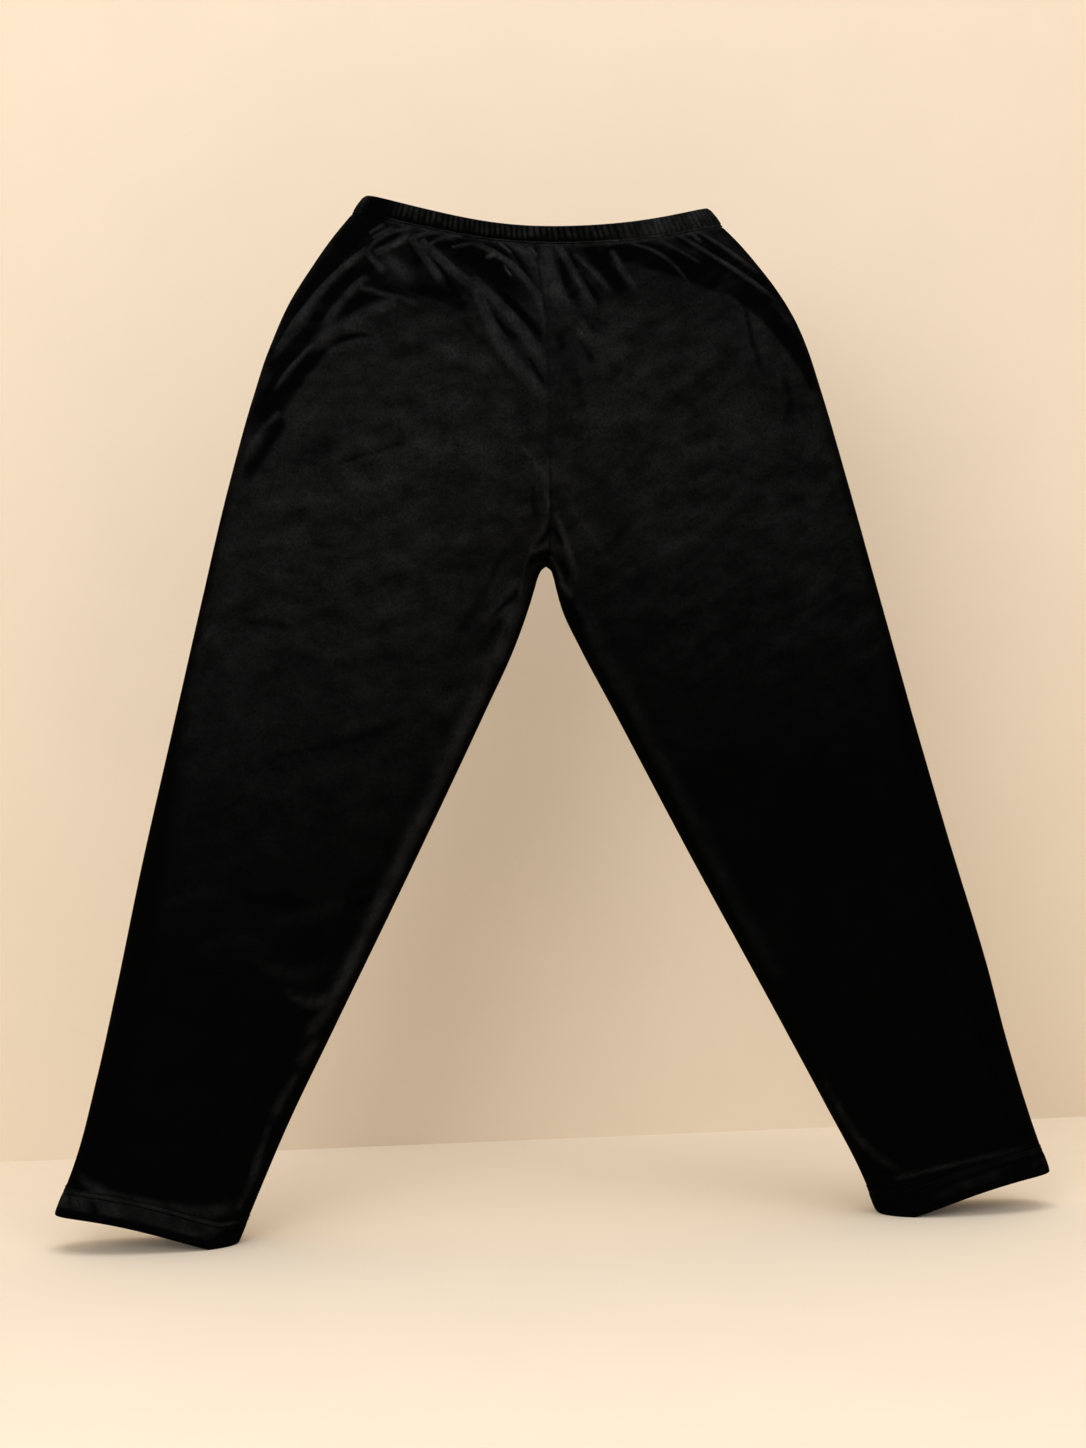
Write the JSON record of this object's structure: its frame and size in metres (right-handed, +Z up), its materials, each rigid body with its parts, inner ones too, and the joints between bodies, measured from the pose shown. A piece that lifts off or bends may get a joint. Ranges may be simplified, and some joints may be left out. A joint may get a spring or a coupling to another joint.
{
  "type": "lounge pants",
  "caption": "Pull-on lounge pants in soft knit with a gathered elastic waist, wide thighs, long tapering legs and turned-up hems, standing hollow with the legs apart.",
  "frame": {"origin": "the middle of the footprint of the whole garment, on the floor it stands on", "axes": "+Z up; -Y is the garment's front; +X is the wearer's left, along the garment's spread legs"},
  "size_m": [0.9608, 0.135, 0.9897],
  "materials": {
    "cloth": "black brushed knit with a short soft nap",
    "waistband_cloth": "black brushed knit gathered into fine ribs over elastic",
    "hem_cloth": "black brushed knit, two layers with a twin row of stitching"
  },
  "bodies": {
    "root": {"right_front_panel": "cloth", "left_front_panel": "cloth", "right_back_panel": "cloth", "left_back_panel": "cloth", "waistband": "waistband_cloth", "right_hem": "hem_cloth", "left_hem": "hem_cloth"}
  },
  "joints": []
}
